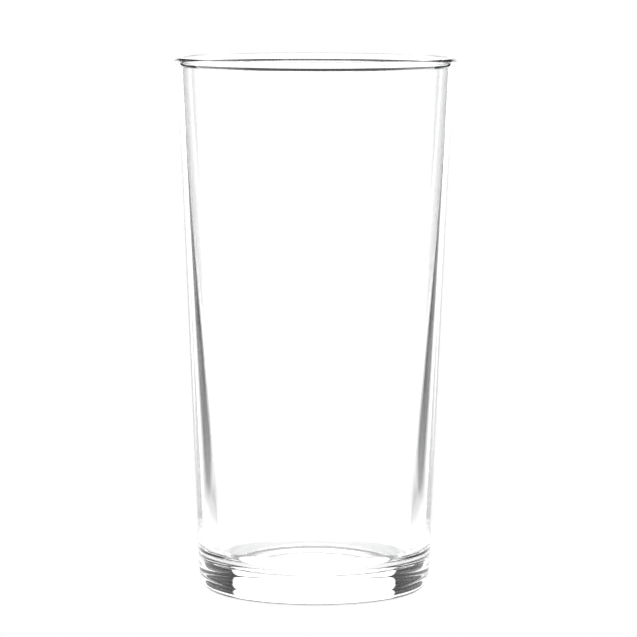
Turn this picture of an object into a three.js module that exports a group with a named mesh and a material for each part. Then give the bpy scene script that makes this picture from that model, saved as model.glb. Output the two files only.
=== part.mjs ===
// Pint glass: a plain conical beer tumbler, one piece of clear soda-lime glass with a thick foot.
// Millimetres, +Z up. The origin is the centre of the foot, on the plane that the glass stands on.

import * as THREE from 'three';

// Driving dimensions.
const HEIGHT = 159;
const RIM_RADIUS = 42; // over the rolled bead
const BEAD_THICKNESS = 2.5;
const BEAD_HEIGHT = 2.6;
const WALL_RADIUS_TOP = 41.05; // outside of the wall, just under the bead
const WALL_RADIUS_FOOT = 34.6; // outside of the wall, where the heel begins
const WALL_THICKNESS_TOP = 1.5;
const WALL_THICKNESS_FOOT = 6.2;
const WALL_THICKENING = 1.5; // power law of the wall's growth downwards: 1 is a straight taper
const FLOOR_HEIGHT = 8.2; // top of the solid foot, inside the glass
const CORNER_WIDTH = 5; // rounded corner between the inside wall and the floor
const CORNER_HEIGHT = 6;
const HEEL_WIDTH = 3.7; // rounded outer edge of the foot
const HEEL_HEIGHT = 5.8;
const RING_INNER_RADIUS = 29.5; // flat ring that the glass stands on
const RECESS_DEPTH = 2.7; // of the underside, inside that ring
const RECESS_SQUARENESS = 9; // power law of the recess: 2 is a round dome, more is a flatter roof

// Smoothness.
const SEGMENTS_AROUND = 64;
const ARC_STEPS = 8;
const WALL_STEPS = 10;

// Clear glass with the faintest green.
const GLASS_COLOUR = 0xf2f6f5;
const GLASS_ROUGHNESS = 0.03;
const GLASS_OPACITY = 0.35;

const cornerTop = FLOOR_HEIGHT + CORNER_HEIGHT;
const beadCentreRadius = RIM_RADIUS - BEAD_THICKNESS / 2;
const beadCentreHeight = HEIGHT - BEAD_HEIGHT / 2;

function outerRadius(z) {
  const top = HEIGHT - BEAD_HEIGHT;
  return THREE.MathUtils.mapLinear(z, HEEL_HEIGHT, top, WALL_RADIUS_FOOT, WALL_RADIUS_TOP);
}

function innerRadius(z) {
  const depth = THREE.MathUtils.inverseLerp(HEIGHT - BEAD_HEIGHT, cornerTop, z);
  const growth = (WALL_THICKNESS_FOOT - WALL_THICKNESS_TOP) * Math.pow(Math.max(depth, 0), WALL_THICKENING);
  return outerRadius(z) - WALL_THICKNESS_TOP - growth;
}

// Points on an elliptical arc in the (radius, height) plane, with the angles in degrees.
function arc(centreRadius, centreHeight, width, height, fromAngle, toAngle, steps) {
  const points = [];
  for (let i = 0; i <= steps; i++) {
    const angle = THREE.MathUtils.degToRad(THREE.MathUtils.lerp(fromAngle, toAngle, i / steps));
    points.push(new THREE.Vector2(
      centreRadius + width * Math.cos(angle),
      centreHeight + height * Math.sin(angle),
    ));
  }
  return points;
}

// The underside: a shallow recess from the axis out to the ring that the glass stands on. Its points
// crowd towards the ring, where the roof of the recess turns down.
function underside() {
  const points = [];
  for (let i = 0; i <= ARC_STEPS; i++) {
    const drop = (i / ARC_STEPS) ** 2;
    const radius = RING_INNER_RADIUS * drop ** (1 / RECESS_SQUARENESS);
    points.push(new THREE.Vector2(radius, RECESS_DEPTH * (1 - drop)));
  }
  return points;
}

function heel() {
  return arc(WALL_RADIUS_FOOT - HEEL_WIDTH, HEEL_HEIGHT, HEEL_WIDTH, HEEL_HEIGHT, -90, 0, ARC_STEPS);
}

// The fire-polished bead, from where it leaves the outside wall, over the lip, to the inside wall.
function bead() {
  const outside = THREE.MathUtils.radToDeg(
    Math.acos((WALL_RADIUS_TOP - beadCentreRadius) / (BEAD_THICKNESS / 2)));
  const inside = THREE.MathUtils.radToDeg(
    Math.acos((beadCentreRadius - WALL_RADIUS_TOP + WALL_THICKNESS_TOP) / (BEAD_THICKNESS / 2)));
  return arc(beadCentreRadius, beadCentreHeight, BEAD_THICKNESS / 2, BEAD_HEIGHT / 2,
    -outside, 180 + inside, 2 * ARC_STEPS);
}

// The inside wall, from under the bead down to the corner. Both ends belong to their neighbours.
function insideWall() {
  const points = [];
  for (let i = 1; i < WALL_STEPS; i++) {
    const z = THREE.MathUtils.lerp(HEIGHT - BEAD_HEIGHT, cornerTop, i / WALL_STEPS);
    points.push(new THREE.Vector2(innerRadius(z), z));
  }
  return points;
}

function insideCorner() {
  const radius = innerRadius(cornerTop) - CORNER_WIDTH;
  return arc(radius, cornerTop, CORNER_WIDTH, CORNER_HEIGHT, 0, -90, ARC_STEPS);
}

const profile = [
  ...underside(),
  ...heel(),
  ...bead(),
  ...insideWall(),
  ...insideCorner(),
  new THREE.Vector2(0, FLOOR_HEIGHT),
];

const clearGlass = new THREE.MeshStandardMaterial({
  color: GLASS_COLOUR,
  roughness: GLASS_ROUGHNESS,
  metalness: 0,
  transparent: true,
  opacity: GLASS_OPACITY,
});

// The lathe turns about Y, so its solid is stood up on Z.
const glassBody = new THREE.Mesh(
  new THREE.LatheGeometry(profile, SEGMENTS_AROUND).rotateX(Math.PI / 2),
  clearGlass,
);
glassBody.name = 'glass_body';

const pintGlass = new THREE.Group();
pintGlass.add(glassBody);

export default pintGlass;
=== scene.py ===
import math

import bmesh
import bpy
from mathutils import Euler, Matrix, Vector


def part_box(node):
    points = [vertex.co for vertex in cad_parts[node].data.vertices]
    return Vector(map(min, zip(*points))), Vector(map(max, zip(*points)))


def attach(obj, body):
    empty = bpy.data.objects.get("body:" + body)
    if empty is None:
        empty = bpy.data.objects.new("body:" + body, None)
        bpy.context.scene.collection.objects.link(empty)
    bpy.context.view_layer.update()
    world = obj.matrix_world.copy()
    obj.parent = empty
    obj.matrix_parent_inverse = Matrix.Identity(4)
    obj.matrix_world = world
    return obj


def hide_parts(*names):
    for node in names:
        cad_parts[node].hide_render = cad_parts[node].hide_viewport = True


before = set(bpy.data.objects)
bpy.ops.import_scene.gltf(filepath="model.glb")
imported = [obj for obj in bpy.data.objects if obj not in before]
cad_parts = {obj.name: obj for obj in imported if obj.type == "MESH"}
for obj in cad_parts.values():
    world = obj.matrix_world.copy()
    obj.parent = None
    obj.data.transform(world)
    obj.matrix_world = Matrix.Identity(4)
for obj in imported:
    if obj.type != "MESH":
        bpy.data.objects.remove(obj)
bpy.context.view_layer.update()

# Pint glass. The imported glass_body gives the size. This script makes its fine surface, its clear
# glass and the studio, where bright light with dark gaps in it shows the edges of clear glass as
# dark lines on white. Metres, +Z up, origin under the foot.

FAR_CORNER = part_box("glass_body")[1]
HEIGHT = FAR_CORNER[2]
RIM_RADIUS = FAR_CORNER[0]

# The glass, in the order of its profile from the rim down.
BEAD_THICKNESS = 0.0025
BEAD_HEIGHT = 0.0026
WALL_RADIUS_TOP = RIM_RADIUS - 0.00095
WALL_RADIUS_FOOT = RIM_RADIUS - 0.0074
WALL_THICKNESS_TOP = 0.0015
WALL_THICKNESS_FOOT = 0.0062
WALL_THICKENING = 1.5  # power law of the wall's growth downwards: 1 is a straight taper
FLOOR_HEIGHT = 0.0082  # top of the solid foot, inside the glass
CORNER_WIDTH = 0.005
CORNER_HEIGHT = 0.006
HEEL_WIDTH = 0.0037
HEEL_HEIGHT = 0.0058
RING_INNER_RADIUS = 0.0295  # flat ring that the glass stands on
RECESS_DEPTH = 0.0027
RECESS_SQUARENESS = 9  # power law of the recess: 2 is a round dome, more is a flatter roof

# Its material: almost colourless, and worn only a little.
GLASS_TINT = (0.995, 1.0, 0.998, 1.0)
GLASS_IOR = 1.51
SMEAR_SCALE = 45.0
SMEAR_FROM = 0.5
SMEAR_FULL = 0.8
SMEAR_ROUGHNESS = 0.03
SCUFF_SCALE = 2500.0
SCUFF_HEIGHT = 0.0006
SCUFF_ROUGHNESS = 0.5
WAVE_SCALE = 30.0
WAVE_DEPTH = 0.0002
WAVE_STRENGTH = 0.1
NOISE_DETAIL = 4.0

# Its mesh.
SEGMENTS_AROUND = 256
BEAD_STEPS = 28
WALL_STEPS = 60
ARC_STEPS = 48

# The camera: a long lens a metre away, looking a little down into the mouth. Angles in degrees.
CAMERA_DISTANCE = 1.048
CAMERA_HEIGHT = 0.195
CAMERA_SIDE = 0.0011
CAMERA_PITCH = 6.2
CAMERA_ROLL = 0.16
CAMERA_LENS = 199.4
SENSOR = 36.0

# The studio. The camera sees a plain white floor and surround, which the glass doesn't.
FLOOR_RADIUS = 6.0
FLOOR_DROP = 0.0004
FLOOR_LIGHT = 1.0

# The glass sees a round table of light with a low wall about it, which the camera doesn't.
RING_RADIUS = 1.4
RING_HEIGHT = 0.66
RING_DROP = 0.0002
RING_SIDES = 96
RING_FADE_FROM = 9.0  # degrees above the rim, where the wall's light begins to fade
RING_FADE_TO = 14.0
CENTRE_LIGHT = 1.35
EDGE_LIGHT = 2.6  # brighter beside the dark, from one share of the way to it until another
EDGE_BEGINS = 0.7
EDGE_FULL = 0.85

# Table and wall are dark on the four diagonals. That darkness, bent through the walls of the glass,
# is what draws it. Angles are in degrees from straight behind or straight in front.
DARK_FROM = 31.0
DARK_TO = 62.0
DARK_APEX = 0.03  # how far past the axis the first angle's lines cross
DARK_NEAREST = 0.07  # the least half width of the light ahead, close to the glass
DARK_SOFTNESS = 0.035
SIDE_NEAREST = 0.12  # the light at the sides begins no nearer than this

# A pool of light round the glass, set forward, fills the dark in: well in front, a little behind.
POOL_FORWARD = 0.3
POOL_RADIUS = 0.63
POOL_SOFTNESS = 0.05
POOL_SHARE_BACK = 0.04  # of the light beside the dark
POOL_SHARE_FRONT = 0.5

# A ring of the table has a painted shadow, where the foot stands.
SHADE_INSIDE = 0.0295
SHADE_OUTSIDE = 0.042
SHADE_SOFTNESS = 0.002
SHADE_LIGHT = 0.7

# All round, past the ring of light, and above.
DARK_LIGHT = 0.05
DOME_RADIUS = 8.0
DOME_SEGMENTS = 32
TOP_LIGHT = 3.0
TOP_HEIGHT = 1.0
TOP_HALF_SIZE = 0.5

# Light paths, enough of them for a ray to leave thick glass.
BOUNCES = 32


def mix(a, b, t):
    return a + (b - a) * t


def outer_radius(z):
    share = (z - HEEL_HEIGHT) / (HEIGHT - BEAD_HEIGHT - HEEL_HEIGHT)
    return mix(WALL_RADIUS_FOOT, WALL_RADIUS_TOP, share)


def inner_radius(z):
    top = HEIGHT - BEAD_HEIGHT
    depth = max((top - z) / (top - FLOOR_HEIGHT - CORNER_HEIGHT), 0.0)
    growth = (WALL_THICKNESS_FOOT - WALL_THICKNESS_TOP) * depth ** WALL_THICKENING
    return outer_radius(z) - WALL_THICKNESS_TOP - growth


def arc(radius, height, wide, tall, start, end, steps):
    """Points on an elliptical arc, as (radius, height) pairs. Angles are in degrees."""
    angles = [math.radians(mix(start, end, i / steps)) for i in range(steps + 1)]
    return [(radius + wide * math.cos(a), height + tall * math.sin(a)) for a in angles]


def underside():
    drops = [(i / ARC_STEPS) ** 2 for i in range(ARC_STEPS + 1)]
    return [(RING_INNER_RADIUS * d ** (1 / RECESS_SQUARENESS), RECESS_DEPTH * (1 - d)) for d in drops]


def heel():
    return arc(WALL_RADIUS_FOOT - HEEL_WIDTH, HEEL_HEIGHT, HEEL_WIDTH, HEEL_HEIGHT, -90, 0, ARC_STEPS)


def wall_heights(low, high):
    """Heights between the ends of a wall, crowding towards the bead, where its surface bends most."""
    shares = [1 - (1 - i / WALL_STEPS) ** 3 for i in range(1, WALL_STEPS)]
    return [mix(low, high, share) for share in shares]


def outside_wall():
    return [(outer_radius(z), z) for z in wall_heights(HEEL_HEIGHT, HEIGHT - BEAD_HEIGHT)]


def bead():
    centre = RIM_RADIUS - BEAD_THICKNESS / 2
    outside = math.degrees(math.acos((WALL_RADIUS_TOP - centre) / (BEAD_THICKNESS / 2)))
    wall_inside = WALL_RADIUS_TOP - WALL_THICKNESS_TOP
    inside = math.degrees(math.acos((centre - wall_inside) / (BEAD_THICKNESS / 2)))
    return arc(centre, HEIGHT - BEAD_HEIGHT / 2, BEAD_THICKNESS / 2, BEAD_HEIGHT / 2,
               -outside, 180 + inside, BEAD_STEPS)


def inside_wall():
    heights = wall_heights(FLOOR_HEIGHT + CORNER_HEIGHT, HEIGHT - BEAD_HEIGHT)
    return [(inner_radius(z), z) for z in reversed(heights)]


def inside_corner():
    top = FLOOR_HEIGHT + CORNER_HEIGHT
    return arc(inner_radius(top) - CORNER_WIDTH, top, CORNER_WIDTH, CORNER_HEIGHT, 0, -90, ARC_STEPS)


def inside_floor():
    radius = inside_corner()[-1][0]
    return [(radius * (1 - i / ARC_STEPS), FLOOR_HEIGHT) for i in range(1, ARC_STEPS + 1)]


def glass_profile():
    return underside() + heel() + outside_wall() + bead() + inside_wall() + inside_corner() + inside_floor()


def lathe(name, profile):
    """A closed mesh of revolution. The profile's first and last points are on the axis."""
    verts = [(0.0, 0.0, profile[0][1])]
    for radius, height in profile[1:-1]:
        for i in range(SEGMENTS_AROUND):
            angle = 2 * math.pi * i / SEGMENTS_AROUND
            verts.append((radius * math.cos(angle), radius * math.sin(angle), height))
    verts.append((0.0, 0.0, profile[-1][1]))
    faces = []
    rings = len(profile) - 2
    last = len(verts) - 1
    for i in range(SEGMENTS_AROUND):
        after = (i + 1) % SEGMENTS_AROUND
        faces.append((0, 1 + after, 1 + i))
        for ring in range(rings - 1):
            low = 1 + ring * SEGMENTS_AROUND
            high = low + SEGMENTS_AROUND
            faces.append((low + i, low + after, high + after, high + i))
        top = 1 + (rings - 1) * SEGMENTS_AROUND
        faces.append((top + i, top + after, last))
    mesh = bpy.data.meshes.new(name)
    mesh.from_pydata(verts, [], faces)
    mesh.update()
    mesh.shade_smooth()
    return new_object(name, mesh)


def new_object(name, data):
    obj = bpy.data.objects.new(name, data)
    bpy.context.scene.collection.objects.link(obj)
    return obj


def emitter(name, strength):
    """A plain glowing material."""
    material = bpy.data.materials.new(name)
    material.use_nodes = True
    nodes = material.node_tree.nodes
    nodes.clear()
    glow = nodes.new("ShaderNodeEmission")
    glow.inputs["Strength"].default_value = strength
    output = nodes.new("ShaderNodeOutputMaterial")
    material.node_tree.links.new(glow.outputs[0], output.inputs["Surface"])
    return material


def math_node(tree, operation, first, second=None):
    node = tree.nodes.new("ShaderNodeMath")
    node.operation = operation
    for socket, value in zip(node.inputs, (first, second)):
        if isinstance(value, bpy.types.NodeSocket):
            tree.links.new(value, socket)
        elif value is not None:
            socket.default_value = value
    return node.outputs[0]


def fade(tree, value, start, end, before, after):
    """A value that goes from before to after as another one goes from start to end."""
    node = tree.nodes.new("ShaderNodeMapRange")
    tree.links.new(value, node.inputs["Value"])
    for socket, number in (("From Min", start), ("From Max", end), ("To Min", before), ("To Max", after)):
        node.inputs[socket].default_value = number
    return node.outputs[0]


def noise(tree, place, scale):
    node = tree.nodes.new("ShaderNodeTexNoise")
    node.inputs["Scale"].default_value = scale
    node.inputs["Detail"].default_value = NOISE_DETAIL
    tree.links.new(place, node.inputs["Vector"])
    return node.outputs[0]


def clear_glass():
    """Clear glass: faint smears of handling, a scuffed ring where it stands, and a slight wave."""
    material = bpy.data.materials.new("clear_glass")
    material.use_nodes = True
    tree = material.node_tree
    shader = tree.nodes["Principled BSDF"]
    shader.inputs["Base Color"].default_value = GLASS_TINT
    shader.inputs["IOR"].default_value = GLASS_IOR
    shader.inputs["Transmission Weight"].default_value = 1.0
    place = tree.nodes.new("ShaderNodeTexCoord").outputs["Object"]
    split = tree.nodes.new("ShaderNodeSeparateXYZ")
    tree.links.new(place, split.inputs[0])
    smears = fade(tree, noise(tree, place, SMEAR_SCALE), SMEAR_FROM, SMEAR_FULL, 0.0, SMEAR_ROUGHNESS)
    underfoot = fade(tree, split.outputs["Z"], 0.0, SCUFF_HEIGHT, SCUFF_ROUGHNESS, 0.0)
    scuffs = math_node(tree, "MULTIPLY", underfoot, noise(tree, place, SCUFF_SCALE))
    tree.links.new(math_node(tree, "ADD", smears, scuffs), shader.inputs["Roughness"])
    wave = tree.nodes.new("ShaderNodeBump")
    wave.inputs["Strength"].default_value = WAVE_STRENGTH
    wave.inputs["Distance"].default_value = WAVE_DEPTH
    tree.links.new(noise(tree, place, WAVE_SCALE), wave.inputs["Height"])
    tree.links.new(wave.outputs[0], shader.inputs["Normal"])
    return material


def distance_from(tree, place, forward):
    """How far a place is from the glass's axis, or from an upright line in front of it."""
    x_squared = math_node(tree, "POWER", place.outputs["X"], 2.0)
    y_squared = math_node(tree, "POWER", math_node(tree, "ADD", place.outputs["Y"], forward), 2.0)
    return math_node(tree, "SQRT", math_node(tree, "ADD", x_squared, y_squared))


def foot_shade(tree, place):
    """Darker in a ring where the glass stands: a painted shadow, since a table that glows shows no shade by
    itself.
    """
    radius = distance_from(tree, place, 0.0)
    soft = SHADE_SOFTNESS
    inside = fade(tree, radius, SHADE_INSIDE, SHADE_INSIDE + soft, 1.0, SHADE_LIGHT)
    outside = fade(tree, radius, SHADE_OUTSIDE - soft, SHADE_OUTSIDE, SHADE_LIGHT, 1.0)
    return math_node(tree, "MAXIMUM", inside, outside)


def lit_ahead(tree, place, across, back):
    """The light straight behind and in front: brighter towards its edges, then fading to dark."""
    spread = math.tan(math.radians(DARK_FROM))
    opening = math_node(tree, "MULTIPLY", math_node(tree, "ADD", back, DARK_APEX), spread)
    edge = math_node(tree, "MAXIMUM", opening, DARK_NEAREST)
    share = math_node(tree, "DIVIDE", across, edge)
    light = fade(tree, share, EDGE_BEGINS, EDGE_FULL, CENTRE_LIGHT, EDGE_LIGHT)
    past = math_node(tree, "SUBTRACT", across, edge)
    lit = fade(tree, past, -DARK_SOFTNESS, DARK_SOFTNESS, 1.0, 0.0)
    return math_node(tree, "MULTIPLY", light, math_node(tree, "MAXIMUM", lit, pool(tree, place)))


def lit_aside(tree, across, back):
    """The light at both sides, past the dark."""
    side = math_node(tree, "MULTIPLY", back, math.tan(math.radians(DARK_TO)))
    past = math_node(tree, "SUBTRACT", across, math_node(tree, "MAXIMUM", side, SIDE_NEAREST))
    return fade(tree, past, -DARK_SOFTNESS, DARK_SOFTNESS, 0.0, CENTRE_LIGHT)


def pool(tree, place):
    """How much of the light there is in the dark, near the glass."""
    outward = distance_from(tree, place, POOL_FORWARD)
    inside = fade(tree, outward, POOL_RADIUS - POOL_SOFTNESS, POOL_RADIUS, 1.0, 0.0)
    share = fade(tree, place.outputs["Y"], -POOL_SOFTNESS, POOL_SOFTNESS,
                 POOL_SHARE_FRONT, POOL_SHARE_BACK)
    return math_node(tree, "MULTIPLY", inside, share)


def lit_up_the_wall(tree, place):
    low = HEIGHT + RING_RADIUS * math.tan(math.radians(RING_FADE_FROM))
    high = HEIGHT + RING_RADIUS * math.tan(math.radians(RING_FADE_TO))
    return fade(tree, place.outputs["Z"], low, high, 1.0, 0.0)


def ring_light():
    """The glow of the table and its wall, by place."""
    material = emitter("ring_light", 1.0)
    tree = material.node_tree
    place = tree.nodes.new("ShaderNodeSeparateXYZ")
    tree.links.new(tree.nodes.new("ShaderNodeTexCoord").outputs["Object"], place.inputs[0])
    across = math_node(tree, "ABSOLUTE", place.outputs["X"])
    back = math_node(tree, "ABSOLUTE", place.outputs["Y"])
    strength = math_node(tree, "ADD", lit_ahead(tree, place, across, back), lit_aside(tree, across, back))
    for dimming in (lit_up_the_wall(tree, place), foot_shade(tree, place)):
        strength = math_node(tree, "MULTIPLY", strength, dimming)
    tree.links.new(strength, tree.nodes["Emission"].inputs["Strength"])
    return material


def sheet(name, corners, faces, material):
    mesh = bpy.data.meshes.new(name)
    mesh.from_pydata(corners, [], faces)
    obj = new_object(name, mesh)
    mesh.materials.append(material)
    return obj


def square(half, height):
    corners = [(-half, -half, height), (half, -half, height), (half, half, height), (-half, half, height)]
    return corners, [(0, 1, 2, 3)]


def tray(radius, low, high, sides):
    """A many-sided flat disc with an upright wall round it."""
    turns = [2 * math.pi * i / sides for i in range(sides)]
    floor = [(radius * math.cos(a), radius * math.sin(a), low) for a in turns]
    brim = [(x, y, high) for x, y, _ in floor]
    faces = [tuple(range(sides))]
    for i in range(sides):
        after = (i + 1) % sides
        faces.append((i, after, sides + after, sides + i))
    return floor + brim, faces


def make_floor():
    floor = sheet("floor", *square(FLOOR_RADIUS, -FLOOR_DROP), emitter("pale_floor", FLOOR_LIGHT))
    floor.visible_transmission = False
    floor.visible_glossy = False


def make_lights():
    ring = sheet("light_ring", *tray(RING_RADIUS, -RING_DROP, RING_HEIGHT, RING_SIDES), ring_light())
    top = sheet("light_top", *square(TOP_HALF_SIZE, TOP_HEIGHT), emitter("top_light", TOP_LIGHT))
    for light in (ring, top):
        light.visible_camera = False


def make_dome():
    """What the glass sees past the lights: a dim grey dome that the camera sees through."""
    mesh = bpy.data.meshes.new("dim_dome")
    shape = bmesh.new()
    bmesh.ops.create_uvsphere(
        shape, u_segments=DOME_SEGMENTS, v_segments=DOME_SEGMENTS // 2, radius=DOME_RADIUS)
    shape.to_mesh(mesh)
    shape.free()
    dome = new_object("dim_dome", mesh)
    mesh.materials.append(emitter("dim_grey", DARK_LIGHT))
    dome.visible_camera = False


def make_surround():
    """A white world that only the camera sees. The glass sees the lights and the dome instead."""
    world = bpy.data.worlds.new("surround")
    bpy.context.scene.world = world
    world.use_nodes = True
    background = world.node_tree.nodes["Background"]
    background.inputs["Color"].default_value = (1.0, 1.0, 1.0, 1.0)
    background.inputs["Strength"].default_value = FLOOR_LIGHT
    world.cycles_visibility.transmission = False
    world.cycles_visibility.glossy = False
    world.cycles_visibility.diffuse = False


def make_camera():
    data = bpy.data.cameras.new("camera")
    data.lens = CAMERA_LENS
    data.sensor_width = SENSOR
    camera = new_object("camera", data)
    tilt = Euler((math.radians(90 - CAMERA_PITCH), 0, 0)).to_matrix()
    roll = Matrix.Rotation(math.radians(CAMERA_ROLL), 3, "Z")
    camera.matrix_world = Matrix.LocRotScale(
        Vector((CAMERA_SIDE, -CAMERA_DISTANCE, CAMERA_HEIGHT)), tilt @ roll, None)
    bpy.context.scene.camera = camera


def make_glass():
    glass = lathe("pint_glass", glass_profile())
    glass.data.materials.append(clear_glass())
    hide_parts("glass_body")
    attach(glass, "root")


def set_light_paths():
    cycles = bpy.context.scene.cycles
    cycles.max_bounces = BOUNCES
    cycles.transmission_bounces = BOUNCES
    cycles.glossy_bounces = BOUNCES // 2
    bpy.context.scene.view_settings.view_transform = "Standard"


make_camera()
make_glass()
make_floor()
make_lights()
make_dome()
make_surround()
set_light_paths()
